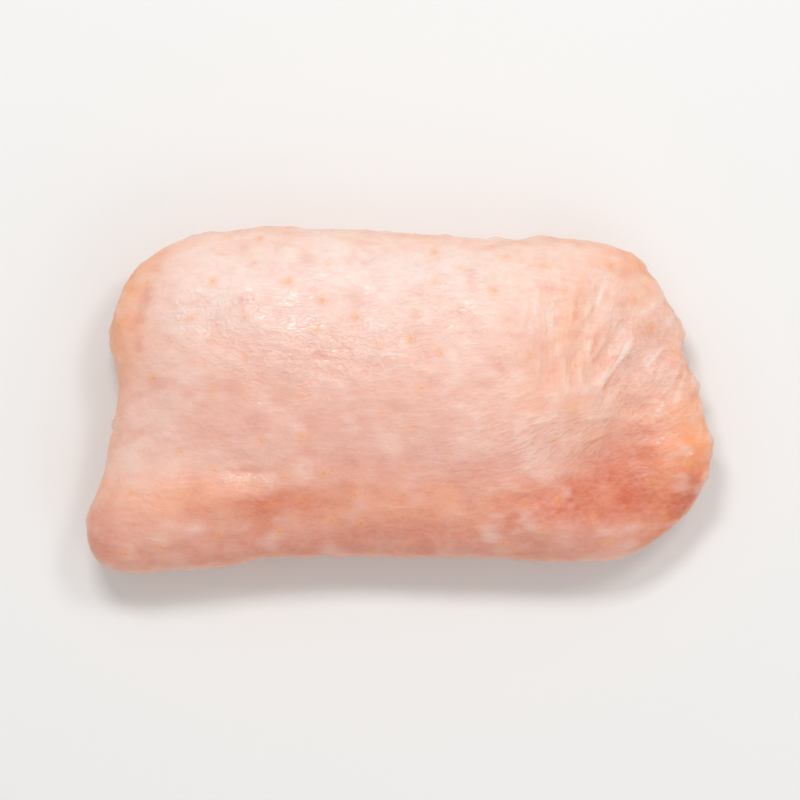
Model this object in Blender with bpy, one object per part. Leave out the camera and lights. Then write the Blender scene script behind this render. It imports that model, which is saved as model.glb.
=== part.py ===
"""A raw chicken thigh with its skin on, lying skin side up, as one solid.

The thigh is a soft mound. Its plan is a smooth closed outline, its height a dome that rolls
over at the sides, and its underside is pressed flat where it lies. The skin wraps round the
sides, is tucked under in pleats, and stops at a wavy edge that frames the bare meat below.

Units are metres and +Z is up. The origin is on the surface that the thigh lies on, under the
middle of its box. +X points to the knee end and +Y to the thick back of the thigh.
"""

import math

import bmesh
import bpy
import numpy as np
from mathutils import Vector, noise

NAME = "thigh"

# Driving dimensions.
CROWN = 0.0325  # height of the mound
WIDEST = 0.0135  # height at which the mound is widest
SKIN = 0.0014  # thickness of the skin with its fat, seen as a step round the bare meat

# The outline seen from above, anticlockwise from the knee end. It is closed by a smooth curve.
OUTLINE = (
    (0.0708, -0.0140),  # knob of the knee end
    (0.0672, 0.0040),
    (0.0622, 0.0200),
    (0.0490, 0.0338),  # far corner of the knee end
    (0.0220, 0.0357),
    (-0.0060, 0.0369),
    (-0.0330, 0.0372),
    (-0.0550, 0.0322),  # far corner of the hip end
    (-0.0652, 0.0165),
    (-0.0636, 0.0010),  # pressed in by the thigh that lay beside it
    (-0.0664, -0.0160),
    (-0.0704, -0.0300),  # near corner of the hip end, which spreads
    (-0.0655, -0.0388),
    (-0.0500, -0.0396),
    (-0.0260, -0.0378),
    (0.0020, -0.0366),
    (0.0300, -0.0370),
    (0.0520, -0.0358),
    (0.0648, -0.0268),  # near corner of the knee end
)
POINTS_PER_SPAN = 24

# The mound is lower towards the knee, the hip and the near side: share of its height lost there.
KNEE_DROP = 0.22
HIP_DROP = 0.05
NEAR_DROP = 0.12
MIDDLE = 0.020  # how far the full height reaches along X from the middle

# Fullness of the dome and of the tuck below it: 2 is an ellipse, and more is boxier.
DOME_FULLNESS = 2.9
TUCK_FULLNESS = 2.6
SINK = 1.25  # how far down the tuck would curl if nothing lay below it, as a share of WIDEST
CONTACT_ROUNDING = 0.0026  # how softly the side turns into the flat underside

# Segments of the block that is rounded into the mound, along X, Y and Z.
SEGMENTS = (56, 28, 15)

# Latitudes on the rounded block, in radians above its widest line, over which relief grows.
TOP_RELIEF = (0.0, 0.5)
SIDE_RELIEF = (-0.6, 0.1)

# Swells and hollows: place seen from above, half length, half width, turn in degrees, height.
SWELLS = (
    ((0.0460, -0.0130), 0.0130, 0.0090, 35, -0.0032),  # hollow beside the knee
    ((0.0640, -0.0150), 0.0080, 0.0070, 0, 0.0024),  # knob of the knee
    ((0.0560, 0.0080), 0.0160, 0.0060, 62, -0.0013),  # slack skin from the hollow to the corner
    ((0.0400, -0.0280), 0.0120, 0.0060, 8, 0.0018),  # roll below the hollow
    ((-0.0120, 0.0090), 0.0380, 0.0200, 4, 0.0014),  # crown of the big muscle
    ((-0.0600, -0.0270), 0.0120, 0.0100, 40, 0.0020),  # spread corner of the hip
    ((-0.0560, -0.0080), 0.0110, 0.0060, 65, -0.0009),  # valley beside that corner
    ((-0.0370, -0.0225), 0.0110, 0.0045, 4, 0.0011),  # lip below the crease
    ((-0.0360, -0.0165), 0.0100, 0.0030, 4, -0.0012),  # crease over the lip
    ((0.0060, -0.0290), 0.0260, 0.0060, 3, 0.0008),  # soft roll along the near side
)

# Waves of the surface, from slow ones to those that ripple its outline: size and height.
WAVES = ((0.034, 0.0011), (0.0150, 0.00060), (0.0085, 0.00032))
WAVE_SHIFT = 3.7  # each size of wave is taken from another part of the noise
WAVES_BELOW = 0.35  # how high they are on the underside, as a share of those on top

# Folds of slack skin that fan out from the knee towards the far side.
FAN_CENTRE = (0.034, -0.017)
FAN_FOLDS = 25  # as many as a whole turn would hold
FAN_SHIFTS = ((5, 1.0, 0.0),)  # these make their spacing uneven
FAN_TWIST = 0.075  # distance outwards over which a fold winds once round by its own width
FAN_HEIGHT = 0.00055
FAN_REACH = (0.012, 0.022, 0.036, 0.052)  # from the centre: where it starts, is full, fades, ends
FAN_TURN = (-0.35, 0.15, 1.35, 2.0)  # the same in radians, anticlockwise from +X

# Pleats where the skin is gathered under, strongest at the two ends.
PLEATS = 26
PLEAT_HEIGHT = 0.0013
SIDE_PLEATS = 0.3  # how strong they are along the sides, as a share of those at the ends
PLEAT_LATITUDE = -0.42  # where they are deepest, in radians below the widest line
PLEAT_SPREAD = 0.40
PLEAT_SHIFTS = ((3, 1.2, 0.8), (7, 0.8, 0.0))  # these make their spacing uneven
PLEAT_GATHER = 1.5  # how quickly they weaken away from the ends

# The bare meat below: how much of the block's underside it takes, along X and Y.
MEAT_SHARE = (0.78, 0.74)
MEAT_ROUNDING = 0.16  # how far the corners of the bare meat are drawn in, as a share of their reach
CORNER_POWER = 1.5  # how closely that keeps to the corners
EDGE_WAVES = ((3, 0.045, -1.2), (5, 0.032, -0.8), (8, 0.026, 0.7), (13, 0.012, 2.2))
DEEPEST_LOBE = 0.3  # how near the table the meat comes, as a share of the skin's thickness
# Lobes of the meat: place, half length, half width, turn in degrees, height.
MEAT_LOBES = (
    ((-0.0100, 0.0110), 0.0340, 0.0070, 5, 0.0010),
    ((0.0050, -0.0110), 0.0300, 0.0060, -6, 0.0009),
    ((-0.0050, 0.0000), 0.0420, 0.0026, 2, -0.0012),
    ((0.0330, 0.0010), 0.0080, 0.0060, 0, 0.0009),
)

SKIN_COLOUR = (0.855, 0.525, 0.432, 1.0)  # linear, pale pink with a warm cast
SKIN_ROUGHNESS = 0.32


def clear_scene():
    for obj in list(bpy.data.objects):
        bpy.data.objects.remove(obj)


def smooth_step(value, low, high):
    share = np.clip((value - low) / (high - low), 0.0, 1.0)
    return share * share * (3.0 - 2.0 * share)


def outline_curve():
    """Points along a closed Catmull-Rom curve through the outline's own points."""
    keys = np.array(OUTLINE)
    steps = np.linspace(0.0, 1.0, POINTS_PER_SPAN, endpoint=False)[:, None]
    spans = []
    for index in range(len(keys)):
        before, start, end, after = (keys[(index + k) % len(keys)] for k in (-1, 0, 1, 2))
        spans.append(
            start
            + 0.5 * steps * (end - before)
            + steps**2 * (before - 2.5 * start + 2.0 * end - 0.5 * after)
            + steps**3 * (1.5 * (start - end) + 0.5 * (after - before))
        )
    return np.concatenate(spans)


def reach_at(bearings, curve):
    """How far the outline is from the middle in each direction."""
    angles = np.arctan2(curve[:, 1], curve[:, 0])
    return np.interp(bearings, angles, np.hypot(curve[:, 0], curve[:, 1]), period=math.tau)


def block(segments):
    """A cube from -1 to 1, cut into a grid of quads."""
    mesh = bmesh.new()
    bmesh.ops.create_cube(mesh, size=2.0)
    for axis, count in enumerate(segments):
        across = [
            edge
            for edge in mesh.edges
            if abs(edge.verts[0].co[axis] - edge.verts[1].co[axis]) > 1.0
        ]
        bmesh.ops.subdivide_edges(mesh, edges=across, cuts=count - 1, use_grid_fill=True)
    return mesh


def on_sphere(points):
    """The points of the cube moved onto a unit sphere, keeping their spacing even."""
    squares = points**2
    near, far = np.roll(squares, -1, axis=1), np.roll(squares, -2, axis=1)
    return points * np.sqrt(1.0 - near / 2.0 - far / 2.0 + near * far / 3.0)


def noise_at(points, size, shift):
    """Smooth noise from -1 to 1 with bumps of about this size."""
    offset = Vector((shift, 2.0 * shift, 3.0 * shift))
    return np.array([noise.noise(Vector(p) / size + offset) for p in points])


def waves_round(bearing, waves):
    """A sum of sines round the thigh, each with a count, a size and a phase."""
    return sum(size * np.sin(count * bearing + phase) for count, size, phase in waves)


def crown_height(x, y):
    """Height of the mound's top over each place, lower at the ends and the near side."""
    half_length, half_width = np.abs(OUTLINE).max(axis=0)
    lost = KNEE_DROP * smooth_step(x, MIDDLE, half_length)
    lost += HIP_DROP * smooth_step(-x, MIDDLE, half_length)
    lost += NEAR_DROP * smooth_step(-y, 0.0, half_width)
    return CROWN * (1.0 - lost)


def mound(directions):
    """The plain mound in each direction: points, latitude, bearing."""
    curve = outline_curve()
    half_length, half_width = np.abs(curve).max(axis=0)
    bearing = np.arctan2(directions[:, 1] * half_width, directions[:, 0] * half_length)
    latitude = np.arcsin(np.clip(directions[:, 2], -1.0, 1.0))
    out, up = np.cos(latitude), np.sin(latitude)
    fullness = np.where(up > 0.0, DOME_FULLNESS, TUCK_FULLNESS)
    grown = (np.abs(out) ** fullness + np.abs(up) ** fullness) ** (-1.0 / fullness)
    reach = reach_at(bearing, curve) * out * grown
    x, y = reach * np.cos(bearing), reach * np.sin(bearing)
    rise = up * grown
    above = WIDEST + (crown_height(x, y) - WIDEST) * rise
    below = WIDEST * (1.0 + SINK * rise)
    return np.stack([x, y, np.where(rise > 0.0, above, below)], axis=1), latitude, bearing


def swell_height(points, swells):
    """The sum of the swells and hollows at each point, seen from above."""
    total = np.zeros(len(points))
    for place, half_length, half_width, turn, height in swells:
        angle = math.radians(turn)
        x, y = points[:, 0] - place[0], points[:, 1] - place[1]
        along = (x * math.cos(angle) + y * math.sin(angle)) / half_length
        across = (y * math.cos(angle) - x * math.sin(angle)) / half_width
        total += height * np.exp(-(along**2 + across**2))
    return total


def wave_height(points):
    total = np.zeros(len(points))
    for index, (size, height) in enumerate(WAVES):
        total += height * noise_at(points, size, WAVE_SHIFT * (index + 1))
    return total


def within(value, limits):
    """From 0 to 1 and back, between the four limits."""
    start, full, fade, end = limits
    return smooth_step(value, start, full) * (1.0 - smooth_step(value, fade, end))


def fan_height(points):
    """Folds that fan out from one place on the skin, a little uneven."""
    x, y = points[:, 0] - FAN_CENTRE[0], points[:, 1] - FAN_CENTRE[1]
    turn, reach = np.arctan2(y, x), np.hypot(x, y)
    uneven = waves_round(turn, FAN_SHIFTS) + math.tau * reach / FAN_TWIST
    folds = np.sin(FAN_FOLDS * turn + uneven)
    return FAN_HEIGHT * folds * within(reach, FAN_REACH) * within(turn, FAN_TURN)


def pleat_height(latitude, bearing):
    """Pleats that run down and under, unevenly spaced."""
    strength = SIDE_PLEATS + (1.0 - SIDE_PLEATS) * np.abs(np.cos(bearing)) ** PLEAT_GATHER
    band = np.exp(-(((latitude - PLEAT_LATITUDE) / PLEAT_SPREAD) ** 2))
    uneven = waves_round(bearing, PLEAT_SHIFTS)
    return PLEAT_HEIGHT * strength * band * np.sin(PLEATS * bearing + uneven)


def press_flat(height):
    """Heights with everything below the table raised onto it, turning softly."""
    softened = 0.5 * (height + np.sqrt(height**2 + CONTACT_ROUNDING**2))
    return np.maximum(softened - 0.5 * CONTACT_ROUNDING, 0.0)


def bare_meat(cube_points, points, bearing):
    """The meat framed by the skin's edge: moved points, with the meat raised off the table."""
    below = cube_points[:, 2] < -0.999
    across = np.abs(cube_points[:, :2])
    out = (across / MEAT_SHARE).max(axis=1)
    corner = np.clip((across / MEAT_SHARE).prod(axis=1), 0.0, 1.0) ** CORNER_POWER
    felt = smooth_step(out, 0.0, 1.0) * (1.0 - smooth_step(across.max(axis=1), max(MEAT_SHARE), 1.0))
    shift = waves_round(bearing, EDGE_WAVES) - MEAT_ROUNDING * corner
    sway = 1.0 + np.where(below, felt * shift, 0.0)
    moved = points * np.stack([sway, sway, np.ones(len(points))], axis=1)
    is_meat = below & (out < 1.0)
    meat_height = np.maximum(SKIN + swell_height(moved, MEAT_LOBES), DEEPEST_LOBE * SKIN)
    moved[:, 2] = np.where(is_meat, meat_height, moved[:, 2])
    return moved


def shape_thigh(mesh):
    """Moves the block's vertices onto the thigh."""
    cube_points = np.array([vert.co[:] for vert in mesh.verts])
    points, latitude, bearing = mound(on_sphere(cube_points))
    set_points(mesh, points)
    outward = np.array([vert.normal[:] for vert in mesh.verts])

    relief = (swell_height(points, SWELLS) + fan_height(points)) * smooth_step(latitude, *TOP_RELIEF)
    on_side = smooth_step(latitude, *SIDE_RELIEF)
    relief += wave_height(points) * (WAVES_BELOW + (1.0 - WAVES_BELOW) * on_side)
    relief += pleat_height(latitude, bearing)
    points = points + outward * relief[:, None]
    points[:, 2] = press_flat(points[:, 2])
    set_points(mesh, bare_meat(cube_points, points, bearing))


def set_points(mesh, points):
    for vert, point in zip(mesh.verts, points):
        vert.co = point
    mesh.normal_update()


def raw_skin():
    """Raw skin over fat and pink meat: pale, soft and wet."""
    material = bpy.data.materials.new("raw_skin")
    material.use_nodes = True
    surface = material.node_tree.nodes["Principled BSDF"]
    surface.inputs["Base Color"].default_value = SKIN_COLOUR
    surface.inputs["Roughness"].default_value = SKIN_ROUGHNESS
    surface.inputs["Metallic"].default_value = 0.0
    return material


def centre_over_origin(mesh):
    """Moves the thigh so that its box stands on the origin, centred."""
    points = np.array([vert.co[:] for vert in mesh.verts])
    middle = (points.min(axis=0) + points.max(axis=0)) / 2.0
    bmesh.ops.translate(mesh, verts=mesh.verts, vec=(-middle[0], -middle[1], -points[:, 2].min()))


def build():
    clear_scene()
    collection = bpy.data.collections.new("chicken_thigh")
    bpy.context.scene.collection.children.link(collection)
    shape = block(SEGMENTS)
    shape_thigh(shape)
    centre_over_origin(shape)
    bmesh.ops.recalc_face_normals(shape, faces=shape.faces)
    data = bpy.data.meshes.new(NAME)
    shape.to_mesh(data)
    shape.free()
    data.shade_smooth()
    data.materials.append(raw_skin())
    collection.objects.link(bpy.data.objects.new(NAME, data))


build()
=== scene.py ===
"""Raw chicken thigh: wet, pored skin over pale fat, and the bare meat below.

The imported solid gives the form. A finer copy of it gets the skin's own relief: slack folds that
fan out at the knee end, small pleats where the skin is tucked under, a fine grain, and a raised
pore at each place where a feather grew. Lengths are in metres, and places are measured from the
middle of the thigh's base, +X towards the knee and +Y towards the thick back.

A patch is a soft oval seen from above: its place, half length, half width, turn in degrees and
amount. A spread is the two limits of a value, and the two limits of what it becomes. Four limits
in a row say where something starts, is full, begins to fade and ends.
"""

import math

import bmesh
import bpy
import numpy as np
from bpy.props import FloatProperty, FloatVectorProperty, IntProperty, PointerProperty
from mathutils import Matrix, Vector, noise
from mathutils.kdtree import KDTree


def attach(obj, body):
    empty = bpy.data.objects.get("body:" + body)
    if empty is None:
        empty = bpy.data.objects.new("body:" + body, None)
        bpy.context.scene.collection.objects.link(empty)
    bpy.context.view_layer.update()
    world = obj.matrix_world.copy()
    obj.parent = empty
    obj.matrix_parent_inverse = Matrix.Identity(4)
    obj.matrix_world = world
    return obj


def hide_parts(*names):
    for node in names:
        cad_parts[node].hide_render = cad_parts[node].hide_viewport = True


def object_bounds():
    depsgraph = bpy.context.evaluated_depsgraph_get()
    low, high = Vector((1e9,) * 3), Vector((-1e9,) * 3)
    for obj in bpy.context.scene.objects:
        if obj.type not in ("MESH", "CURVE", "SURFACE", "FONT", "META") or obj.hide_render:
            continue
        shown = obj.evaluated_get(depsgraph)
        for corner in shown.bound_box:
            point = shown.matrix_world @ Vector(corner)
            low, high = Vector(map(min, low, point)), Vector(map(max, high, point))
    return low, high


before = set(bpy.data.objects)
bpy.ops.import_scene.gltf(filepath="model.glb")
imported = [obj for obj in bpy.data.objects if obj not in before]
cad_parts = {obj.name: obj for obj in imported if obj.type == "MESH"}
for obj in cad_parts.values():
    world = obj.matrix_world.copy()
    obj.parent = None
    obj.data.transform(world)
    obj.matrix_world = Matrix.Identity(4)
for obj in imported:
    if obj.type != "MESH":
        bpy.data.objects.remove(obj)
CAD_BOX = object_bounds()

bl_info = {
    "name": "Raw Chicken Thigh",
    "version": (1, 0, 0),
    "blender": (4, 5, 0),
    "location": "View3D > Sidebar > Chicken Thigh",
    "description": "Dresses the solid of a chicken thigh in wet skin, fat and bare meat",
    "category": "Object",
}

NODE = "thigh"
MM = 0.001

# The solid's triangles meet within this distance, and pair up into quads within these angles.
WELD = 1e-6
PAIR_TILT = math.radians(60)
PAIR_SKEW = math.radians(80)
FINER = 2  # each level cuts every quad in four
EDGE_CREASE = 0.7  # how sharp the cut edge of the skin stays when the mesh is refined

RIM_REACH = 3.0 * MM  # how far in from its cut edge the skin is pale with fat

# The bare meat lies clear of the table, framed by skin that touches it. Nothing goes below the table.
TABLE = 0.0
MEAT_CLEARANCE = 0.3 * MM
MEAT_LIFT = 0.8 * MM  # the fibres reach their full height this far above the table
SKIN_LIFT = 4.0 * MM  # and the skin's relief this far above it
FACING_UP = (-0.2, 0.5)  # upward part of the normal, from none to all of what shows on top

# Soft bumps: share of their height, size along each axis, and place in the noise.
SOFT_BUMPS = (
    (0.7, (0.0080, 0.0065, 0.0080), 1.0),
    (0.6, (0.0044, 0.0030, 0.0040), 2.0),
)
# The grain's size and place in the noise, and those of the larger spots where it is stronger.
GRAIN = ((0.0034, 0.0011, 0.0020), 4.0)
GRAIN_SPOTS = ((0.022, 0.014, 0.020), 3.0)
GRAIN_LEAST = 0.35  # share of the grain between those spots
BUMPS_BELOW = 0.3  # share of the bumps and the grain on skin that faces down
# Fibres and bundles of fibres of the bare meat, in the same way.
FIBRES = (
    ((0.0110, 0.0016, 0.0030), 6.0),
    ((0.0160, 0.0060, 0.0060), 7.0),
)

# Scallops along the outline of the knee end: where they begin, and which way their skin faces.
SCALLOPS = ((0.0060, 0.0034, 0.0400), 8.0)
SCALLOPS_FROM = (0.040, 0.056)
SCALLOPS_FACING = (-0.9, -0.3, 0.4, 0.9)
SCALLOPS_SHARE = 0.9  # of the small pleats' height

# The small pleats: height above the table, how far down their skin faces, and how tall they are.
PLEAT_BAND = (0.0, 0.003, 0.008, 0.018)
PLEATS_FACING = (-0.75, 0.0, 0.80, 0.97)
PLEAT_LENGTH = 20.0 * MM
PLEATS_IN_SPACING = 1.6
PLEAT_SHIFT = 2.7

# Short folds of slack skin at the knee end: the limits of their places, of their half length and
# half width and of their share of the full height, and how much they turn and bend.
FOLDS = 105
FOLD_ACROSS_X = (0.024, 0.068)
FOLD_ACROSS_Y = (-0.026, 0.031)
FOLD_LENGTH = (0.0028, 0.0065)
FOLD_WIDTH = (0.0006, 0.0009)
FOLD_RISE = (0.25, 1.0)
FOLD_JITTER = math.radians(9)
FOLD_BEND = 30.0
FOLD_SEED = 5
FOLD_LIMITS = (-1.0, 1.2)  # of crossing folds together
FOLD_FLAT = 0.35  # share of a fold's half length before it runs out
GROOVE_DEPTH = 0.35  # of the groove beside a fold, as a share of the fold's height
GROOVE_PLACE = 1.7  # in half widths from the fold
# The folds are lower beside the hollow, within these two places along Y.
LOW_FOLDS = (-0.014, -0.002)
LOW_FOLD_SHARE = 0.35
# How steeply the folds run, in degrees: below, above, and how much more towards the thick part.
FOLD_SLOPES = (22.0, 55.0, 40.0)
FOLD_THICK_END = (0.030, 0.050)
FOLD_TURN_LINE = (0.35, 0.045)  # the slope turns along this line, and over this width
FOLD_TURN_WIDTH = (-0.006, 0.004)

# Depth and patch of the dips: two creases near the hip, the hollow beside the knee, and two soft
# creases inside the hip end's rim.
DIPS = (
    (0.45 * MM, ((-0.0335, -0.0158), 0.0055, 0.0008, 3, 1.0)),
    (0.25 * MM, ((-0.0300, -0.0225), 0.0090, 0.0013, 12, 1.0)),
    (1.00 * MM, ((0.0490, -0.0120), 0.0080, 0.0060, 40, 1.0)),
    (0.20 * MM, ((-0.0565, 0.0240), 0.0075, 0.0016, 70, 1.0)),
    (0.20 * MM, ((-0.0592, 0.0110), 0.0075, 0.0016, 83, 1.0)),
)
# Height and patch of the few long, drawn folds at the knee end, which stand out pale with a painted
# highlight.
DRAWN_FOLDS = (
    (0.26 * MM, ((0.0490, 0.0085), 0.0058, 0.00055, 54, 1.0)),
    (0.16 * MM, ((0.0510, 0.0125), 0.0028, 0.00050, 57, 0.8)),
    (0.24 * MM, ((0.0567, 0.0090), 0.0038, 0.00055, 47, 1.0)),
    (0.26 * MM, ((0.0585, -0.0018), 0.0019, 0.00055, 52, 1.0)),
    (0.22 * MM, ((0.0585, -0.0090), 0.0018, 0.00050, 36, 0.9)),
    (0.22 * MM, ((0.0653, -0.0120), 0.0015, 0.00050, 31, 0.9)),
    (0.18 * MM, ((0.0452, 0.0238), 0.0034, 0.00055, 71, 0.7)),
    (0.18 * MM, ((0.0332, 0.0010), 0.0036, 0.00055, 18, 0.6)),
)
# A groove or ridge of this height gets the full painted shade of a groove or the full painted highlight of
# a ridge.
FULL_RELIEF = 0.35 * MM

# The finest folds fan out from this place beside the knee.
FAN_CENTRE = (0.037, -0.018)
FAN_REACH = (0.012, 0.020, 0.044, 0.056)
FAN_TURN = (-0.30, 0.20, 1.70, 2.10)
SLANT = math.radians(24)  # how the folds beside the hollow slope
SLANT_PATCH = ((0.0340, -0.0080), 0.0300, 0.0160, 10, 1.0)

# Where the skin is tucked under, steep, on the side or open to the light, by the upward part of
# its normal, and where it is low, by its height.
TUCKED = (-0.55, 0.10)
STEEP = (0.10, 0.65)
ON_SIDE = (-0.6, 0.0, 0.25, 0.88)
PORED = (-0.1, 0.4)
LOW = (0.004, 0.016)

# Where the skin lies over thick fat or muscle, is flushed, warm or wet. Some of these tones paint light
# and shade, as said at each.
# Pale fat, with painted light: the far top band is lit paler, the patch in the middle of the top is a
# painted sheen of the wet film, and the small patch above the crease near the hip is a painted highlight
# on the fold.
FAT_AND_PAINTED_LIGHT_PATCHES = (
    ((0.0000, 0.0320), 0.0600, 0.0100, -1, 0.95),
    ((0.0360, 0.0260), 0.0200, 0.0110, 10, 0.50),
    ((-0.0450, 0.0220), 0.0160, 0.0100, 0, 0.50),
    ((-0.0080, 0.0190), 0.0300, 0.0100, 0, 0.30),
    ((-0.0340, -0.0186), 0.0055, 0.0026, 0, 0.45),
    ((-0.0520, -0.0170), 0.0120, 0.0050, 6, 0.25),
    ((-0.0600, -0.0100), 0.0060, 0.0120, 0, 0.30),
)
MUSCLE_AND_SHADE_PATCHES = (
    ((-0.0250, -0.0020), 0.0380, 0.0150, 3, 0.65),
    # painted shade: the near, lower side darker and rosier
    ((0.0100, -0.0190), 0.0500, 0.0120, 3, 0.85),
    ((-0.0350, 0.0250), 0.0180, 0.0060, 0, 0.30),
)
# Flush where red shows through thin skin, and painted shade: the hollow beside the knee, the crevice below
# it, the low near side and the crease near the hip.
FLUSH_AND_SHADE_PATCHES = (
    ((0.0505, -0.0135), 0.0090, 0.0060, 40, 0.60),
    ((0.0480, -0.0215), 0.0190, 0.0060, 5, 0.70),
    ((0.0350, -0.0220), 0.0100, 0.0050, 0, 0.25),
    ((0.0600, -0.0100), 0.0080, 0.0060, 0, 0.15),
    ((0.0660, -0.0200), 0.0050, 0.0050, 0, 0.45),
    ((0.0630, -0.0260), 0.0080, 0.0080, 30, 0.68),
    ((0.0000, -0.0350), 0.0800, 0.0120, 1, 0.68),
    ((0.0100, -0.0150), 0.0300, 0.0050, 0, 0.12),
    ((-0.0300, -0.0235), 0.0160, 0.0040, 8, 0.40),
    ((-0.0700, -0.0310), 0.0060, 0.0090, 0, 0.35),
)
# Warm orange skin, partly painted light: the glow of light through the thin rims at the hip and knee ends,
# and a lit lower corner at the knee end.
TAN_AND_GLOW_PATCHES = (
    ((-0.0635, 0.0160), 0.0180, 0.0060, 81, 0.64),
    ((-0.0600, 0.0290), 0.0050, 0.0120, -45, 0.45),
    ((0.0700, -0.0100), 0.0070, 0.0200, 0, 0.60),
    ((0.0640, -0.0250), 0.0090, 0.0090, 30, 0.85),
    ((0.0560, 0.0300), 0.0140, 0.0080, -40, 0.60),
    ((0.0380, 0.0200), 0.0040, 0.0100, -15, 0.40),
    ((0.0050, -0.0230), 0.0600, 0.0060, 0, 0.45),
    ((0.0450, 0.0100), 0.0160, 0.0200, 0, 0.22),
    ((0.0340, 0.0010), 0.0090, 0.0080, 0, 0.25),
    ((0.0300, 0.0270), 0.0160, 0.0080, 0, 0.18),
    ((0.0560, -0.0140), 0.0120, 0.0100, 0, 0.45),
    ((0.0650, -0.0060), 0.0080, 0.0120, 0, 0.35),
    ((-0.0480, -0.0220), 0.0200, 0.0070, 0, 0.30),
)
WET_PATCHES = (
    ((-0.0460, 0.0190), 0.0080, 0.0060, 0, 0.9),
    ((-0.0280, 0.0180), 0.0120, 0.0060, 0, 1.0),
    ((-0.0220, 0.0090), 0.0160, 0.0050, 0, 0.9),
    ((-0.0040, 0.0110), 0.0090, 0.0060, 10, 0.8),
    ((0.0080, 0.0200), 0.0200, 0.0100, 0, 0.5),
    ((0.0550, 0.0070), 0.0120, 0.0170, 0, 0.9),
    ((-0.0340, -0.0186), 0.0055, 0.0026, 0, 0.9),
)

# Feather pores: how many are tried on a square metre, and the faintest one's share of the height.
PORE_TRIES = 60000.0
FAINTEST_PORE = 0.05

# Clouds of tone in the skin: size in millimetres, detail, how drawn out, spread, the stored value
# that holds them in, and the colour that they lay over the skin.
SKIN_CLOUDS = (
    (16.0, 3.0, 1.0, (0.36, 0.66, 0.00, 0.50), None, "muscle"),
    (9.0, 3.0, 1.0, (0.30, 0.62, 0.50, 1.00), "muscle", "muscle"),
    (6.0, 4.0, 1.0, (0.30, 0.60, 0.65, 1.00), "fat", "fat"),
    (5.0, 6.0, 0.6, (0.42, 0.74, 0.00, 0.28), None, "fat"),
    # The sides are laid with tan by how they face, partly a painted glow of light through the thin skin.
    (8.0, 3.0, 1.0, (0.30, 0.65, 0.12, 0.42), "side", "tan"),
    (5.0, 3.0, 1.0, (0.30, 0.60, 0.60, 1.00), "tan", "tan"),
    (7.0, 3.0, 1.0, (0.25, 0.65, 0.62, 1.00), "flush", "flush"),
    (2.6, 6.0, 0.7, (0.50, 0.74, 0.00, 0.13), None, "flush"),
)
SPECKLE = (1.1, 2.0, 0.6)  # the finest clouds, in the muscle's colour
SPECKLE_SPREAD = (0.46, 0.66, 0.0, 0.14)
# Stored values that lay a colour over the skin: their spread and the colour. The relief's grooves get
# painted shade in the flush's colour, and its ridges a painted highlight in the fat's colour.
RELIEF_SHADE_AND_HIGHLIGHT = (
    ("raised", (0.0, -1.0, 0.0, 0.28), "flush"),
    ("raised", (0.0, 1.0, 0.0, 0.42), "fat"),
)
# The drawn folds get a painted highlight in the fat's colour; the rim is pale with fat.
FOLD_HIGHLIGHT_AND_RIM_TONES = (
    ("drawn", (0.25, 0.90, 0.0, 0.62), "fat"),
    ("rim", (0.2, 0.9, 0.0, 0.8), "fat"),
)

# Fine lines in the skin: size in millimetres and how drawn out, then their heights and tones as shares.
# The tones are paler skin and partly a painted glint along the lines. Crepe is full where the skin is wet.
CREASE_WIDTH = 0.13  # of the noise's range
CREPE = (1.7, 0.60)
CREPE_SPREAD = (0.0, 0.8, 0.32, 1.0)
FAN_LINES = (2.4, 0.20)
SLANT_LINES = (2.0, 0.30)
FAN_SHARE = 0.70
SLANT_SHARE = 1.25
CREPE_PALE_AND_GLINT = 0.20
KNEE_PALE_AND_GLINT = 0.09

# A pore's halo and fleck, by the distance from its middle. Both end before the next pore's reach.
HALO_CLOUDS = (1.6, 2.0)
HALO_SPREAD = (1.5 * MM, -0.6 * MM, 0.0, 0.48)
HALO_WAVER = -1.2 * MM
FLECK_SPREAD = (0.50 * MM, 0.15 * MM)
FLECK_TONE = 0.14
CLEAR_OF_PORES = (2.6 * MM, 1.6 * MM)

# The film of water: the size of its clouds in millimetres, how thick it lies there and in the wet
# patches, and the gloss that it gives the skin below and the film itself.
FILM_CLOUDS = 4.5
FILM_SPREAD = (0.38, 0.66, 0.0, 0.55)
WET_SHARE = 0.45
GROUND_ROUGHNESS = (0.0, 1.0, 0.52, 0.34)
FILM_WEIGHT = (0.1, 1.0, 0.10, 0.90)

# Heights of what is bump alone: slack and pits of the skin, ripples of the film, meat fibres.
SLACK = (1.3, 4.0, 0.40)  # the finest slack's size in millimetres, detail and how drawn out
SLACK_BUMP = 0.18 * MM
LINES_IN_SLACK = 0.5
PIT_BUMP = 0.10 * MM
FILM_BUMP = 0.30 * MM
FIBRE_BUMP = 0.50 * MM

# What the skin's material reads from the mesh: single values, and places.
STORED = {
    "Fac": (
        "wet",
        "fat",
        "muscle",
        "tan",
        "flush",
        "side",
        "raised",
        "drawn",
        "rim",
        "fanned",
        "sloped",
        "pored",
        "pore_gap",
        "pore_strength",
    ),
    "Vector": ("fan_place", "slope_place", "pore_away"),
}
SOFTLY = {"interpolation_type": "SMOOTHSTEP"}

MEAT_DRIFT = 9.0 * MM  # how far the fibres of the bare meat waver to the side, at the most
MEAT_SHADE = 0.72  # of the meat's colour between the fibres
SEAM = 0.9 * MM  # half the width of the seam between the two muscles
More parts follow.
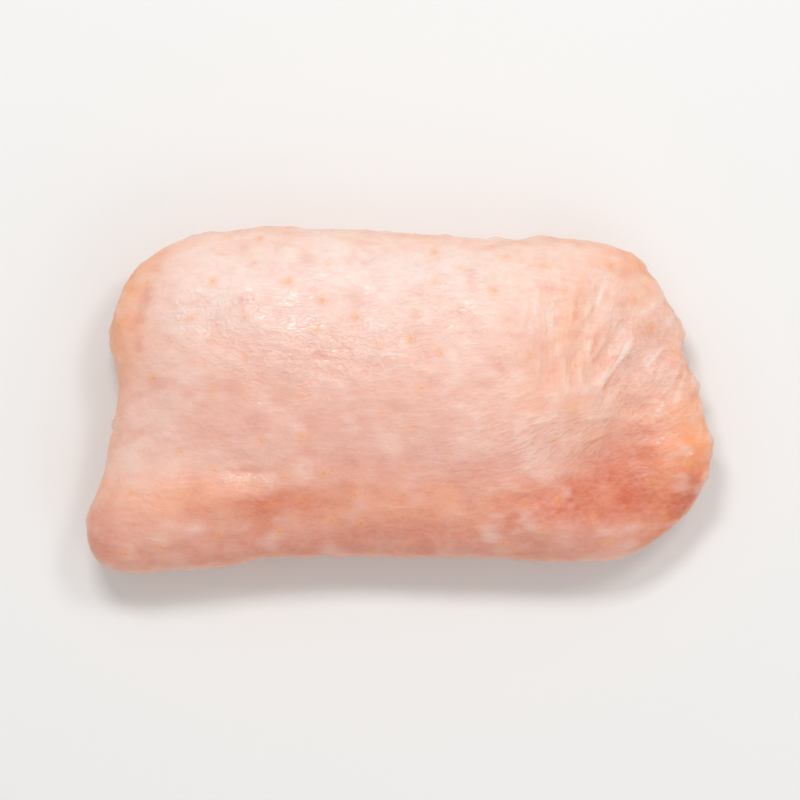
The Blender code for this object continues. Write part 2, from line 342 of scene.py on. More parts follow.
# The bare meat's clouds: size in millimetres, detail and how drawn out, and their spreads.
WAVER = (16.0, 2.0)
MEAT_FIBRES = (1.3, 4.0, 0.10)
MARBLING = (4.0, 5.0, 0.35)
SILVER_SPOTS = (7.0, 3.0)
MOIST_SPOTS = (6.0, 2.0)
FIBRE_SPREAD = (0.30, 0.70)
SECOND_MUSCLE_SPREAD = (-1.5 * MM, 2.5 * MM, 0.0, 0.22)
MARBLING_SPREAD = (0.58, 0.74, 0.0, 0.75)
SILVER_SPREAD = (0.42, 0.60, 0.10, 0.65)
MOIST_ROUGHNESS = (0.35, 0.65, 0.42, 0.26)

# Each light: where it hangs, how wide and how deep it is.
KEY = ((-0.12, 0.37, 0.72), 0.22, 0.15)
SECOND_KEY = ((0.26, 0.30, 0.68), 0.18, 0.15)
FILL = ((0.35, -0.45, 0.50), 0.60, 0.60)
CAMERA_HEIGHT = 1.20
SENSOR = 36.0
FLOOR_REACH = 3.0


def linear(code):
    """The linear colour of an sRGB hex value."""
    parts = (int(code[i : i + 2], 16) / 255.0 for i in (1, 3, 5))
    return tuple(p / 12.92 if p <= 0.04045 else ((p + 0.055) / 1.055) ** 2.4 for p in parts)


def colour(name, code, description):
    return FloatVectorProperty(
        name=name, description=description, subtype="COLOR", size=3, min=0.0, max=1.0, default=linear(code)
    )


def length(name, millimetres, description):
    return FloatProperty(
        name=name,
        description=description,
        subtype="DISTANCE",
        unit="LENGTH",
        min=0.0,
        precision=5,
        default=millimetres * MM,
    )


class ThighRelief(bpy.types.PropertyGroup):
    """Heights and spacings of what stands up from the skin."""

    bump_height: length("Bumps", 0.35, "Height of the soft bumps of fat below the skin")
    grain_height: length("Grain", 0.13, "Height of the skin's own fine, drawn-out grain")
    fold_height: length("Folds", 0.30, "Height of the short folds of slack skin at the knee end")
    pleat_height: length("Pleats", 0.75, "Height of the small pleats where the skin is tucked under")
    fibre_height: length("Fibres", 0.30, "Height of the fibres of the bare meat")
    pleat_spacing: length("Pleat spacing", 3.6, "Distance between the small pleats")
    pore_spacing: length("Pore spacing", 6.5, "Least distance between two feather pores")
    pore_radius: length("Pore radius", 1.3, "Radius of the raised skin round a feather pore")
    pore_height: length("Pore height", 0.20, "Height of the raised skin round a feather pore")
    pore_seed: IntProperty(name="Pore seed", description="Which scatter of pores is used", default=7)


class ThighColours(bpy.types.PropertyGroup):
    """Colours of the skin and the meat."""

    skin: colour("Skin", "#F5C8B6", "Skin over a thin layer of fat")
    # The fat's colour is also laid as the painted highlight on ridges, drawn folds and fine lines, and as
    # painted sheen and light on the top.
    fat: colour("Fat", "#FBE2D8", "Skin over thick, pale fat")
    muscle: colour("Muscle", "#EAB1A0", "Skin through which the muscle shows")
    # The tan's colour is also the painted glow along the thin rims and sides.
    tan: colour("Tan", "#FFA870", "Warm skin along the pressed and drawn ends")
    # The flush's colour is also the painted shade in hollows, grooves, tucks and along the near side.
    flush: colour("Flush", "#D66C48", "Thin skin, hollows and tucks, where red shows through")
    pore: colour("Pore", "#F4B074", "The fleck of yellow fat in a feather pore")
    meat: colour("Meat", "#CF7B70", "Bare dark meat of the thigh")
    sinew: colour("Sinew", "#F1CFC2", "Fat and silver skin on the bare meat")


class ThighStage(bpy.types.PropertyGroup):
    """The floor, the lights and the camera."""

    floor: colour("Floor", "#F1F0EE", "The plain floor")
    view_width: length("View width", 178.0, "Width of the floor that the camera sees")
    key_power: FloatProperty(name="Key", description="Power of the key light", unit="POWER", default=2.2)
    second_power: FloatProperty(
        name="Second key", description="Power of the second key light", unit="POWER", default=1.0
    )
    fill_power: FloatProperty(
        name="Fill", description="Power of the fill light", unit="POWER", default=0.72
    )
    sky: FloatProperty(name="Sky", description="Strength of the even light from all sides", default=0.52)


def smooth_step(value, low, high):
    share = np.clip((value - low) / (high - low), 0.0, 1.0)
    return share * share * (3.0 - 2.0 * share)


def within(value, limits):
    """From 0 to 1 and back, between the four limits."""
    start, full, fade, end = limits
    return smooth_step(value, start, full) * (1.0 - smooth_step(value, fade, end))


def noise_at(points, sizes, shift):
    """Smooth noise from -1 to 1 at each point, with its own size of bump along each axis."""
    scaled = points / np.array(sizes) + shift
    return np.array([noise.noise(Vector(place)) for place in scaled])


def patches_at(points, patches):
    """From 0 to 1: how far each point lies in the patches, seen from above."""
    total = np.zeros(len(points))
    for place, half_length, half_width, turn, amount in patches:
        angle = math.radians(turn)
        x, y = points[:, 0] - place[0], points[:, 1] - place[1]
        along = (x * math.cos(angle) + y * math.sin(angle)) / half_length
        across = (y * math.cos(angle) - x * math.sin(angle)) / half_width
        total += amount * np.exp(-(along**2 + across**2))
    return np.clip(total, 0.0, 1.0)


def points_of(mesh):
    places = np.empty(len(mesh.vertices) * 3)
    mesh.vertices.foreach_get("co", places)
    return places.reshape(-1, 3)


def normals_of(mesh):
    directions = np.empty(len(mesh.vertices) * 3, np.float32)
    mesh.vertex_normals.foreach_get("vector", directions)
    return directions.reshape(-1, 3).astype(float)


def bare_vertices(mesh):
    """1 at the vertices of the bare meat, 0 elsewhere."""
    bare = np.zeros(len(mesh.vertices))
    for face in mesh.polygons:
        if face.material_index:
            bare[list(face.vertices)] = 1.0
    return bare


def rim_share(points, bare):
    """From 1 at the cut edge of the skin to 0 some way off."""
    meat = points[bare > 0.5]
    tree = KDTree(len(meat))
    for index, place in enumerate(meat):
        tree.insert(place, index)
    tree.balance()
    low = np.flatnonzero(points[:, 2] < RIM_REACH)
    share = np.zeros(len(points))
    share[low] = [1.0 - min(1.0, tree.find(points[i])[2] / RIM_REACH) for i in low]
    return share * (1.0 - bare)


def store(mesh, name, values):
    """Keeps a number or a place for each vertex, for the materials to read."""
    kind, field = ("FLOAT", "value") if values.ndim == 1 else ("FLOAT_VECTOR", "vector")
    layer = mesh.attributes.new(name, kind, "POINT")
    layer.data.foreach_set(field, values.astype(np.float32).ravel())


def mark_meat(shape):
    """Gives the bare meat, which the skin frames all round, the second material, with a sharp rim."""
    below = [face for face in shape.faces if face.normal.z < -0.5]
    start = min(below, key=lambda face: face.calc_center_median().xy.length)
    meat, waiting = {start}, [start]
    while waiting:
        for edge in waiting.pop().edges:
            for face in edge.link_faces:
                if face not in meat and min(v.co.z for v in face.verts) > MEAT_CLEARANCE:
                    meat.add(face)
                    waiting.append(face)
    crease = shape.edges.layers.float.new("crease_edge")
    for face in meat:
        face.material_index = 1
    for edge in shape.edges:
        if sum(face in meat for face in edge.link_faces) == 1:
            edge[crease] = EDGE_CREASE


def fine_copy(node):
    """A merged, finer copy of the solid in quads, as an object of its own."""
    shape = bmesh.new()
    shape.from_mesh(node.data)
    bmesh.ops.remove_doubles(shape, verts=shape.verts, dist=WELD)
    bmesh.ops.join_triangles(
        shape,
        faces=shape.faces,
        angle_face_threshold=PAIR_TILT,
        angle_shape_threshold=PAIR_SKEW,
        topology_influence=2.0,
    )
    mark_meat(shape)
    coarse = bpy.data.meshes.new("thigh_coarse")
    shape.to_mesh(coarse)
    shape.free()
    body = bpy.data.objects.new("thigh_body", coarse)
    bpy.context.scene.collection.objects.link(body)
    finer = body.modifiers.new("finer", "SUBSURF")
    finer.levels = finer.render_levels = FINER
    finer.use_limit_surface = False
    return plain_mesh(body)


def plain_mesh(body):
    """Turns what the object's modifiers make into its own plain mesh."""
    graph = bpy.context.evaluated_depsgraph_get()
    made = bpy.data.meshes.new_from_object(
        body.evaluated_get(graph), preserve_all_data_layers=True, depsgraph=graph
    )
    body.modifiers.clear()
    old, body.data = body.data, made
    bpy.data.meshes.remove(old)
    made.name = body.name
    made.shade_smooth()
    return body


def fold_direction(x, y):
    """How the folds lie at a place: gently sloping below, steeper towards the far side."""
    gentle, steep, more = FOLD_SLOPES
    slope, middle = FOLD_TURN_LINE
    upright = steep + more * (1.0 - smooth_step(x, *FOLD_THICK_END))
    above = smooth_step(y + slope * (x - middle), *FOLD_TURN_WIDTH)
    return np.radians(gentle + (upright - gentle) * above)


def short_folds(points):
    """Many short, narrow ridges of slack skin, each with a groove along one side."""
    chance = np.random.default_rng(FOLD_SEED)
    flat = points[:, :2]
    total = np.zeros(len(points))
    for _ in range(FOLDS):
        place = np.array([chance.uniform(*FOLD_ACROSS_X), chance.uniform(*FOLD_ACROSS_Y)])
        half_length, half_width = chance.uniform(*FOLD_LENGTH), chance.uniform(*FOLD_WIDTH)
        height, bend = chance.uniform(*FOLD_RISE), chance.uniform(-FOLD_BEND, FOLD_BEND)
        height *= LOW_FOLD_SHARE + (1.0 - LOW_FOLD_SHARE) * smooth_step(place[1], *LOW_FOLDS)
        turn = fold_direction(*place) + chance.normal() * FOLD_JITTER
        near = np.flatnonzero(np.abs(flat - place).max(axis=1) < half_length + 3.0 * half_width)
        x, y = (flat[near] - place).T
        along = x * math.cos(turn) + y * math.sin(turn)
        across = (y * math.cos(turn) - x * math.sin(turn) + bend * along**2) / half_width
        profile = np.exp(-(across**2)) - GROOVE_DEPTH * np.exp(-((across + GROOVE_PLACE) ** 2))
        ends = 1.0 - smooth_step(np.abs(along), FOLD_FLAT * half_length, half_length)
        total[near] += height * profile * ends
    return np.clip(total, *FOLD_LIMITS)


def fold_places(points):
    """Places along and across the fine folds, in the fan and in the slope beside the hollow."""
    x, y = points[:, 0] - FAN_CENTRE[0], points[:, 1] - FAN_CENTRE[1]
    turn, reach = np.arctan2(y, x), np.hypot(x, y)
    midway = (FAN_REACH[1] + FAN_REACH[2]) / 2.0
    fan = np.stack([reach, turn * midway, points[:, 2]], axis=1)
    fanned = within(reach, FAN_REACH) * within(turn, FAN_TURN)
    along = x * math.cos(SLANT) + y * math.sin(SLANT)
    across = y * math.cos(SLANT) - x * math.sin(SLANT)
    slope = np.stack([along, across, points[:, 2]], axis=1)
    sloped = patches_at(points, (SLANT_PATCH,))
    return fan, fanned, slope, sloped * (1.0 - fanned)


def small_pleats(points, normals, spacing):
    """Upright pleats round the side of the thigh, where the skin is drawn under."""
    half = np.abs(points[:, :2]).max(axis=0)
    bearing = np.arctan2(points[:, 1] / half[1], points[:, 0] / half[0])
    round_the_side = half.mean()
    strip = np.stack(
        [np.cos(bearing) * round_the_side, np.sin(bearing) * round_the_side, points[:, 2]], axis=1
    )
    width = spacing / PLEATS_IN_SPACING
    across = noise_at(strip, (width, width, PLEAT_LENGTH), PLEAT_SHIFT)
    return across * within(points[:, 2], PLEAT_BAND) * within(-normals[:, 2], PLEATS_FACING)


def raise_relief(body, relief):
    """Moves the fine mesh's vertices in and out, which leaves the thigh's form and base as they are."""
    points, normals = points_of(body.data), normals_of(body.data)
    upward = smooth_step(normals[:, 2], *FACING_UP)

    bumps = sum(share * noise_at(points, *pattern) for share, *pattern in SOFT_BUMPS)
    stronger = smooth_step(noise_at(points, *GRAIN_SPOTS), -0.3, 0.3)
    grain = noise_at(points, *GRAIN) * (GRAIN_LEAST + (1.0 - GRAIN_LEAST) * stronger)
    height = relief.bump_height * bumps + relief.grain_height * grain
    height *= BUMPS_BELOW + (1.0 - BUMPS_BELOW) * upward
    height += relief.fold_height * short_folds(points) * upward
    height += relief.pleat_height * small_pleats(points, normals, relief.pleat_spacing)
    scallops = noise_at(points, *SCALLOPS) * smooth_step(points[:, 0], *SCALLOPS_FROM)
    scallops *= within(normals[:, 2], SCALLOPS_FACING)
    height += SCALLOPS_SHARE * relief.pleat_height * scallops
    bare = bare_vertices(body.data) > 0.5
    fibres = sum(noise_at(points, *pattern) for pattern in FIBRES)
    height = np.where(bare, relief.fibre_height * fibres, height)
    for depth, patch in DIPS:
        height -= depth * patches_at(points, (patch,)) * upward
    for rise, patch in DRAWN_FOLDS:
        height += rise * patches_at(points, (patch,)) * upward

    height *= smooth_step(points[:, 2] / np.where(bare, MEAT_LIFT, SKIN_LIFT), 0.0, 1.0)
    points += normals * height[:, None]
    points[:, 2] = np.maximum(points[:, 2], TABLE)
    body.data.vertices.foreach_set("co", points.ravel())
    body.data.update()
    # How far each vertex stands up or sinks, which paints shade into the grooves and a highlight onto the
    # ridges
    store(body.data, "raised", np.clip(height / FULL_RELIEF, -1.0, 1.0))


def keep_tones(body):
    """Stores where the skin lies over fat or muscle, where it is warm or flushed, and where light and
    shade are painted into those tones.
    """
    mesh = body.data
    points, normals = points_of(mesh), normals_of(mesh)
    tucked = 1.0 - smooth_step(normals[:, 2], *TUCKED)
    low = 1.0 - smooth_step(points[:, 2], *LOW)
    steep = 1.0 - smooth_step(normals[:, 2], *STEEP)
    # Fat, with painted light on the top band, a painted sheen and a painted highlight by the crease
    store(mesh, "fat", patches_at(points, FAT_AND_PAINTED_LIGHT_PATCHES))
    # Muscle, with painted shade darkening the near, lower side
    store(mesh, "muscle", patches_at(points, MUSCLE_AND_SHADE_PATCHES))
    # Tan, partly a painted glow on the thin rims and a painted lit corner at the knee end
    store(mesh, "tan", patches_at(points, TAN_AND_GLOW_PATCHES) * (1.0 - tucked) * (1.0 - 0.6 * low))
    # Flush, partly painted shade in the hollow, along the low near side and under the tucked skin
    flush = patches_at(points, FLUSH_AND_SHADE_PATCHES) * (1.0 - 0.7 * tucked) * (1.0 - 0.55 * steep)
    store(mesh, "flush", np.clip(flush + 0.22 * tucked * low, 0.0, 1.0))
    store(mesh, "pored", smooth_step(normals[:, 2], *PORED))
    store(mesh, "side", within(normals[:, 2], ON_SIDE))
    store(mesh, "wet", patches_at(points, WET_PATCHES))
    # Where the drawn folds lie, for their painted highlight
    store(mesh, "drawn", patches_at(points, [patch for _, patch in DRAWN_FOLDS]))
    store(mesh, "rim", rim_share(points, bare_vertices(mesh)))
    fan, fanned, slope, sloped = fold_places(points)
    store(mesh, "fan_place", fan)
    store(mesh, "fanned", fanned)
    store(mesh, "slope_place", slope)
    store(mesh, "sloped", sloped)


def add(tree, kind, inputs=None, **settings):
    """Adds a node with its settings. Each input gets a value, or a link from an output socket."""
    node = tree.nodes.new(kind)
    for name, value in settings.items():
        setattr(node, name, value)
    for key, value in (inputs or {}).items():
        if isinstance(value, bpy.types.NodeSocket):
            tree.links.new(value, node.inputs[key])
        else:
            node.inputs[key].default_value = value
    return node


def pore_tree():
    """A node tree that scatters feather pores over the skin and raises it round each one."""
    tree = bpy.data.node_groups.new("feather_pores", "GeometryNodeTree")
    face = tree.interface
    face.new_socket("Geometry", in_out="INPUT", socket_type="NodeSocketGeometry")
    for name in ("Spacing", "Radius", "Height"):
        face.new_socket(name, in_out="INPUT", socket_type="NodeSocketFloat")
    face.new_socket("Seed", in_out="INPUT", socket_type="NodeSocketInt")
    face.new_socket("Skin", in_out="INPUT", socket_type="NodeSocketMaterial")
    face.new_socket("Geometry", in_out="OUTPUT", socket_type="NodeSocketGeometry")

    given = add(tree, "NodeGroupInput").outputs
    pored = add(tree, "GeometryNodeInputNamedAttribute", {"Name": "pored"}, data_type="FLOAT")
    scatter = add(
        tree,
        "GeometryNodeDistributePointsOnFaces",
        {
            "Mesh": given["Geometry"],
            "Distance Min": given["Spacing"],
            "Density Max": PORE_TRIES,
            "Density Factor": pored.outputs[0],
            "Seed": given["Seed"],
        },
        distribute_method="POISSON",
    )
    pores = scatter.outputs["Points"]
    place = add(tree, "GeometryNodeInputPosition").outputs[0]
    nearest = add(tree, "GeometryNodeProximity", {0: pores}, target_element="POINTS")
    which = add(tree, "GeometryNodeSampleNearest", {"Geometry": pores}, domain="POINT")
    chance = add(tree, "FunctionNodeRandomValue", {2: FAINTEST_PORE, 3: 1.0, "Seed": given["Seed"]})
    strength = add(
        tree,
        "GeometryNodeSampleIndex",
        {"Geometry": pores, "Value": chance.outputs[1], "Index": which.outputs[0]},
        data_type="FLOAT",
        domain="POINT",
    ).outputs[0]
    rise = add(
        tree,
        "ShaderNodeMapRange",
        {"Value": nearest.outputs["Distance"], "From Min": given["Radius"], "From Max": 0.0},
        interpolation_type="SMOOTHERSTEP",
    ).outputs[0]
    rise = add(tree, "ShaderNodeMath", {0: rise, 1: strength}, operation="MULTIPLY").outputs[0]
    rise = add(tree, "ShaderNodeMath", {0: rise, 1: pored.outputs[0]}, operation="MULTIPLY").outputs[0]
    height = add(tree, "ShaderNodeMath", {0: rise, 1: given["Height"]}, operation="MULTIPLY").outputs[0]
    outward = add(tree, "GeometryNodeInputNormal").outputs[0]
    offset = add(tree, "ShaderNodeVectorMath", {0: outward, "Scale": height}, operation="SCALE").outputs[0]
    away = add(
        tree, "ShaderNodeVectorMath", {0: place, 1: nearest.outputs["Position"]}, operation="SUBTRACT"
    ).outputs[0]

    skin = given["Geometry"]
    kept = (
        ("pore_away", "FLOAT_VECTOR", away),
        ("pore_gap", "FLOAT", nearest.outputs["Distance"]),
        ("pore_strength", "FLOAT", strength),
    )
    for name, kind, value in kept:
        inputs = {"Geometry": skin, "Name": name, "Value": value}
        skin = add(
            tree, "GeometryNodeStoreNamedAttribute", inputs, data_type=kind, domain="POINT"
        ).outputs[0]
    skin = add(tree, "GeometryNodeSetPosition", {"Geometry": skin, "Offset": offset}).outputs[0]
    skin = add(tree, "GeometryNodeRealizeInstances", {"Geometry": skin}).outputs[0]
    index = add(tree, "GeometryNodeInputMaterialIndex").outputs[0]
    is_skin = add(tree, "FunctionNodeCompare", {2: index, 3: 0}, data_type="INT", operation="EQUAL")
    skin = add(
        tree,
        "GeometryNodeSetMaterial",
        {"Geometry": skin, "Selection": is_skin.outputs[0], "Material": given["Skin"]},
    ).outputs[0]
    add(tree, "NodeGroupOutput", {"Geometry": skin})
    return tree


def raise_pores(body, relief, skin):
    """Runs the pore tree on the body and keeps its result as a plain mesh."""
    pores = body.modifiers.new("pores", "NODES")
    pores.node_group = pore_tree()
    values = {
        "Spacing": relief.pore_spacing,
        "Radius": relief.pore_radius,
        "Height": relief.pore_height,
        "Seed": relief.pore_seed,
        "Skin": skin,
    }
    for item in pores.node_group.interface.items_tree:
        if item.in_out == "INPUT" and item.name in values:
            pores[item.identifier] = values[item.name]
    return plain_mesh(body)


def new_material(name):
    material = bpy.data.materials.new(name)
    material.use_nodes = True
    tree = material.node_tree
    return material, tree, tree.nodes["Principled BSDF"]


def span(low, high, to_low=0.0, to_high=1.0):
    """The inputs that spread a value from low to high over another range."""
    return {"From Min": low, "From Max": high, "To Min": to_low, "To Max": to_high}


def clouds(tree, where, millimetres, detail=3.0, drawn=1.0):
    """Cloudy noise whose marks are this large, or longer along X by as much as it is drawn out."""
    where = add(tree, "ShaderNodeMapping", {"Vector": where, "Scale": (drawn, 1.0, 1.0)}).outputs[0]
    inputs = {"Vector": where, "Scale": 1.0 / (millimetres * MM), "Detail": detail}
    return add(tree, "ShaderNodeTexNoise", inputs)


def creases(tree, where, millimetres, drawn, share):
    """Thin, wavy, branching ridges that run along X, with a share of their height."""
    noise_value = clouds(tree, where, millimetres, 2.0, drawn).outputs[0]
    middle = add(tree, "ShaderNodeMath", {0: noise_value, 1: 0.5}, operation="SUBTRACT").outputs[0]
    off_ridge = add(tree, "ShaderNodeMath", {0: middle}, operation="ABSOLUTE").outputs[0]
    inputs = {"Value": off_ridge, **span(CREASE_WIDTH, 0.0)}
    ridge = add(tree, "ShaderNodeMapRange", inputs, **SOFTLY).outputs[0]
    return add(tree, "ShaderNodeMath", {0: ridge, 1: share}, operation="MULTIPLY").outputs[0]


def lay(tree, tone, over, value, spread, mask=None):
    """Lays a colour over the tone, as strongly as the spread value and the mask say."""
    amount = add(tree, "ShaderNodeMapRange", {"Value": value, **span(*spread)}, **SOFTLY).outputs[0]
    if mask is not None:
        amount = add(tree, "ShaderNodeMath", {0: amount, 1: mask}, operation="MULTIPLY").outputs[0]
    return add(tree, "ShaderNodeMix", {0: amount, 6: tone, 7: (*over, 1.0)}, data_type="RGBA").outputs[2]


def raw_skin(colours):
    """Raw chicken skin, plucked and wet.

    It is thin and cloudy, so light soaks in and comes back warm, cream over thick fat and rosy
    over muscle. A film of water gives it small sharp glints on a satin ground.
    """
    material, tree, surface = new_material("raw_skin")
    place = add(tree, "ShaderNodeTexCoord").outputs["Object"]
    stored = {
        name: add(tree, "ShaderNodeAttribute", attribute_name=name).outputs[socket]
        for socket, names in STORED.items()
        for name in names
    }

    # The finest lines: crepe where the skin is wet, a fan at the knee, and a slope by the hollow.
    inputs = {"Value": stored["wet"], **span(*CREPE_SPREAD)}
    crepe_share = add(tree, "ShaderNodeMapRange", inputs, **SOFTLY).outputs[0]
    crepe = creases(tree, place, *CREPE, crepe_share)
    fan = creases(tree, stored["fan_place"], *FAN_LINES, stored["fanned"])
    slant = creases(tree, stored["slope_place"], *SLANT_LINES, stored["sloped"])
    slant = add(tree, "ShaderNodeMath", {0: slant, 1: SLANT_SHARE}, operation="MULTIPLY").outputs[0]
    inputs = {0: fan, 1: FAN_SHARE, 2: slant}
    knee_lines = add(tree, "ShaderNodeMath", inputs, operation="MULTIPLY_ADD").outputs[0]
    lines = add(tree, "ShaderNodeMath", {0: crepe, 1: knee_lines}, operation="ADD").outputs[0]

    # Tones, each over the last: muscle, fat, warm and flushed skin, with their painted light and shade,
    # then painted shade in the relief's grooves and a painted highlight on its ridges.
    tone = (*colours.skin, 1.0)
    for *pattern, spread, mask, over in SKIN_CLOUDS:
        cloud = clouds(tree, place, *pattern).outputs[0]
        tone = lay(tree, tone, getattr(colours, over), cloud, spread, stored.get(mask))
    for name, spread, over in RELIEF_SHADE_AND_HIGHLIGHT:
        tone = lay(tree, tone, getattr(colours, over), stored[name], spread)
    # The fine lines are laid paler in the fat's colour, partly a painted glint along them.
    crepe_pale_and_glint = add(tree, "ShaderNodeMath", {0: crepe, 1: CREPE_PALE_AND_GLINT}, operation="MULTIPLY").outputs[0]
    inputs = {0: knee_lines, 1: KNEE_PALE_AND_GLINT, 2: crepe_pale_and_glint}
    pale = add(tree, "ShaderNodeMath", inputs, operation="MULTIPLY_ADD").outputs[0]
    inputs = {0: pale, 6: tone, 7: (*colours.fat, 1.0)}
    tone = add(tree, "ShaderNodeMix", inputs, data_type="RGBA").outputs[2]
    tone = lay(tree, tone, colours.muscle, clouds(tree, place, *SPECKLE).outputs[0], SPECKLE_SPREAD)
    # A painted highlight along the drawn folds, and the pale fat along the skin's cut rim.
    for name, spread, over in FOLD_HIGHLIGHT_AND_RIM_TONES:
        tone = lay(tree, tone, getattr(colours, over), stored[name], spread)

    # Each feather pore has an uneven halo of yellow fat and a small dark fleck in its middle.
    inputs = {0: stored["pore_away"]}
    distance = add(tree, "ShaderNodeVectorMath", inputs, operation="LENGTH").outputs["Value"]
    inputs = {"Value": stored["pore_gap"], **span(*CLEAR_OF_PORES)}
    near_pore = add(tree, "ShaderNodeMapRange", inputs, **SOFTLY).outputs[0]
    inputs = {0: stored["pore_strength"], 1: stored["pored"]}
    strength = add(tree, "ShaderNodeMath", inputs, operation="MULTIPLY").outputs[0]
    strength = add(tree, "ShaderNodeMath", {0: strength, 1: near_pore}, operation="MULTIPLY").outputs[0]
    inputs = {0: clouds(tree, place, *HALO_CLOUDS).outputs[0], 1: HALO_WAVER, 2: distance}
    uneven = add(tree, "ShaderNodeMath", inputs, operation="MULTIPLY_ADD").outputs[0]
    tone = lay(tree, tone, colours.pore, uneven, HALO_SPREAD, strength)
    tone = lay(tree, tone, colours.flush, distance, (*FLECK_SPREAD, 0.0, FLECK_TONE), strength)
    tree.links.new(tone, surface.inputs["Base Color"])

    # The water lies in a patchy film, thicker in the wet places.
    inputs = {"Value": clouds(tree, place, FILM_CLOUDS).outputs[0], **span(*FILM_SPREAD)}
    film = add(tree, "ShaderNodeMapRange", inputs, **SOFTLY).outputs[0]
    inputs = {0: stored["wet"], 1: WET_SHARE, 2: film}
    film = add(tree, "ShaderNodeMath", inputs, operation="MULTIPLY_ADD").outputs[0]
    for socket, spread in (("Roughness", GROUND_ROUGHNESS), ("Coat Weight", FILM_WEIGHT)):
        amount = add(tree, "ShaderNodeMapRange", {"Value": film, **span(*spread)}, **SOFTLY).outputs[0]
        tree.links.new(amount, surface.inputs[socket])
    surface.inputs["Coat Roughness"].default_value = 0.17
    surface.inputs["Coat IOR"].default_value = 1.45
    surface.inputs["IOR"].default_value = 1.40
    surface.inputs["Subsurface Weight"].default_value = 0.50
    surface.inputs["Subsurface Radius"].default_value = (1.0, 0.42, 0.28)
    surface.inputs["Subsurface Scale"].default_value = 2.5 * MM

    # The skin's finest slack is bump alone, and the film lies over it with sharper bumps.
    loose = clouds(tree, place, *SLACK).outputs[0]
    inputs = {0: lines, 1: LINES_IN_SLACK, 2: loose}
    slack = add(tree, "ShaderNodeMath", inputs, operation="MULTIPLY_ADD").outputs[0]
    inputs = {"Height": slack, "Strength": 1.0, "Distance": SLACK_BUMP}
    soft = add(tree, "ShaderNodeBump", inputs).outputs[0]
    inputs = {"Value": distance, **span(*FLECK_SPREAD)}
    pit = add(tree, "ShaderNodeMapRange", inputs, **SOFTLY).outputs[0]
    pit = add(tree, "ShaderNodeMath", {0: pit, 1: strength}, operation="MULTIPLY").outputs[0]
    inputs = {"Height": pit, "Strength": 1.0, "Distance": PIT_BUMP, "Normal": soft}
    skin_normal = add(tree, "ShaderNodeBump", inputs, invert=True).outputs[0]
    tree.links.new(skin_normal, surface.inputs["Normal"])
    inputs = {0: lines, 1: loose}
    ripples = add(tree, "ShaderNodeMath", inputs, operation="ADD").outputs[0]
    inputs = {"Height": ripples, "Strength": 1.0, "Distance": FILM_BUMP}
    tree.links.new(add(tree, "ShaderNodeBump", inputs).outputs[0], surface.inputs["Coat Normal"])
    return material


def bare_meat(colours):
    """Bare dark meat, as trimmed from the bone side.

    Long fibres run along the thigh and waver, rosy and moist, with white threads and flecks of
    fat, and a thread of silver skin where two muscles meet.
    """
    material, tree, surface = new_material("bare_meat")
    place = add(tree, "ShaderNodeTexCoord").outputs["Object"]

    inputs = {0: clouds(tree, place, *WAVER).outputs["Color"], 1: (0.5, 0.5, 0.5)}
    drift = add(tree, "ShaderNodeVectorMath", inputs, operation="SUBTRACT").outputs[0]
    inputs = {0: drift, 1: (0.0, MEAT_DRIFT, 0.0), 2: place}
    wavered = add(tree, "ShaderNodeVectorMath", inputs, operation="MULTIPLY_ADD").outputs[0]
    across = add(tree, "ShaderNodeSeparateXYZ", {0: wavered}).outputs["Y"]

    # Fibres, a redder second muscle, marbling, and silver skin in patches along the seam.
    fibres = clouds(tree, wavered, *MEAT_FIBRES).outputs[0]
    deep = (*(MEAT_SHADE * part for part in colours.meat), 1.0)
    tone = lay(tree, deep, colours.meat, fibres, FIBRE_SPREAD)
    tone = lay(tree, tone, colours.flush, across, SECOND_MUSCLE_SPREAD)
    marbling = clouds(tree, wavered, *MARBLING).outputs[0]
    tone = lay(tree, tone, colours.sinew, marbling, MARBLING_SPREAD)
    inputs = {0: across, 1: 0.0, 2: SEAM}
    seam = add(tree, "ShaderNodeMath", inputs, operation="COMPARE").outputs[0]
    patchy = clouds(tree, wavered, *SILVER_SPOTS).outputs[0]
    tone = lay(tree, tone, colours.sinew, patchy, SILVER_SPREAD, seam)
    tree.links.new(tone, surface.inputs["Base Color"])

    inputs = {"Value": clouds(tree, place, *MOIST_SPOTS).outputs[0], **span(*MOIST_ROUGHNESS)}
    moist = add(tree, "ShaderNodeMapRange", inputs, **SOFTLY).outputs[0]
    tree.links.new(moist, surface.inputs["Roughness"])
    surface.inputs["IOR"].default_value = 1.42
    surface.inputs["Subsurface Weight"].default_value = 0.25
    surface.inputs["Subsurface Radius"].default_value = (1.0, 0.30, 0.20)
    surface.inputs["Subsurface Scale"].default_value = 2.5 * MM
    inputs = {"Height": fibres, "Strength": 0.7, "Distance": FIBRE_BUMP}
    tree.links.new(add(tree, "ShaderNodeBump", inputs).outputs[0], surface.inputs["Normal"])
    return material


class THIGH_OT_body(bpy.types.Operator):
    """Make the thigh's skin and bare meat from the solid"""

    bl_idname = "thigh.body"
    bl_label = "Skin and Meat"

    def execute(self, context):
        relief, colours = context.scene.thigh_relief, context.scene.thigh_colours
        body = fine_copy(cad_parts[NODE])
        raise_relief(body, relief)
        keep_tones(body)
        skin = raw_skin(colours)
        for material in (skin, bare_meat(colours)):
            body.data.materials.append(material)
        body = raise_pores(body, relief, skin)
        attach(body, "root")
        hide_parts(NODE)
        return {"FINISHED"}


def add_area_light(name, place_and_size, power, target):
    place, width, depth = place_and_size
    lamp = bpy.data.lights.new(name, "AREA")
    lamp.shape = "RECTANGLE"
    lamp.size, lamp.size_y = width, depth
    lamp.energy = power
    light = bpy.data.objects.new(name, lamp)
    light.location = place
    light.rotation_euler = (target - Vector(place)).to_track_quat("-Z", "Y").to_euler()
    bpy.context.scene.collection.objects.link(light)


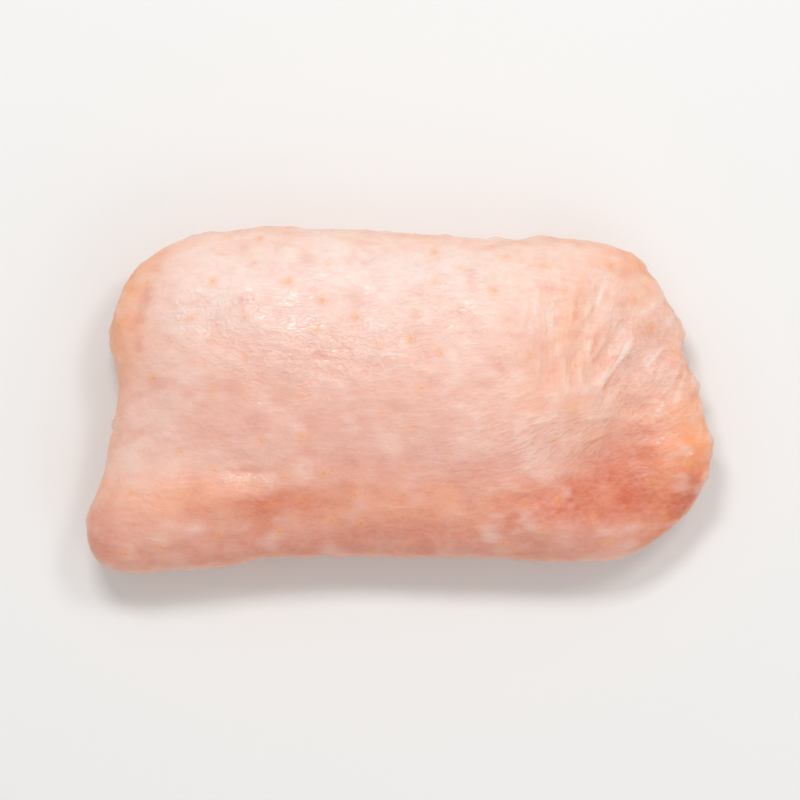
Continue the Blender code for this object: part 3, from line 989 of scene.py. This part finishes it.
class THIGH_OT_stage(bpy.types.Operator):
    """Set up the plain floor, the soft lights and the camera that looks straight down"""

    bl_idname = "thigh.stage"
    bl_label = "Stage"

    def execute(self, context):
        scene, stage = context.scene, context.scene.thigh_stage
        low, high = (Vector(corner) for corner in CAD_BOX)
        middle = (low + high) / 2.0

        bpy.ops.mesh.primitive_plane_add(size=FLOOR_REACH, location=(0.0, 0.0, low.z))
        floor = context.object
        floor.name = "floor"
        material, _, surface = new_material("matte_floor")
        surface.inputs["Base Color"].default_value = (*stage.floor, 1.0)
        surface.inputs["Roughness"].default_value = 0.8
        floor.data.materials.append(material)

        add_area_light("key", KEY, stage.key_power, middle)
        add_area_light("second_key", SECOND_KEY, stage.second_power, middle)
        add_area_light("fill", FILL, stage.fill_power, middle)
        world = bpy.data.worlds.new("studio")
        world.use_nodes = True
        world.node_tree.nodes["Background"].inputs["Strength"].default_value = stage.sky
        world.node_tree.nodes["Background"].inputs["Color"].default_value = (1.0, 1.0, 1.0, 1.0)
        scene.world = world
        scene.view_settings.view_transform = "Standard"

        camera = bpy.data.objects.new("camera", bpy.data.cameras.new("camera"))
        camera.location = (middle.x, middle.y, high.z + CAMERA_HEIGHT)
        camera.data.sensor_width = SENSOR
        camera.data.lens = SENSOR * CAMERA_HEIGHT / stage.view_width
        scene.collection.objects.link(camera)
        scene.camera = camera
        return {"FINISHED"}


class THIGH_PT_panel(bpy.types.Panel):
    """Lists the thigh's steps with their sizes and colours"""

    bl_idname = "THIGH_PT_panel"
    bl_label = "Chicken Thigh"
    bl_space_type = "VIEW_3D"
    bl_region_type = "UI"
    bl_category = "Chicken Thigh"

    def draw(self, context):
        scene = context.scene
        for settings in (scene.thigh_relief, scene.thigh_colours, scene.thigh_stage):
            box = self.layout.box()
            for name in settings.bl_rna.properties.keys():
                if name not in ("rna_type", "name"):
                    box.prop(settings, name)
        for operator in OPERATORS:
            self.layout.operator(operator.bl_idname)


OPERATORS = (THIGH_OT_body, THIGH_OT_stage)
SETTINGS = {"thigh_relief": ThighRelief, "thigh_colours": ThighColours, "thigh_stage": ThighStage}
CLASSES = (*SETTINGS.values(), *OPERATORS, THIGH_PT_panel)


def register():
    for item in CLASSES:
        bpy.utils.register_class(item)
    for name, settings in SETTINGS.items():
        setattr(bpy.types.Scene, name, PointerProperty(type=settings))


def unregister():
    for name in SETTINGS:
        delattr(bpy.types.Scene, name)
    for item in reversed(CLASSES):
        bpy.utils.unregister_class(item)


def main():
    register()
    bpy.ops.thigh.body()
    bpy.ops.thigh.stage()


if __name__ == "__main__":
    main()
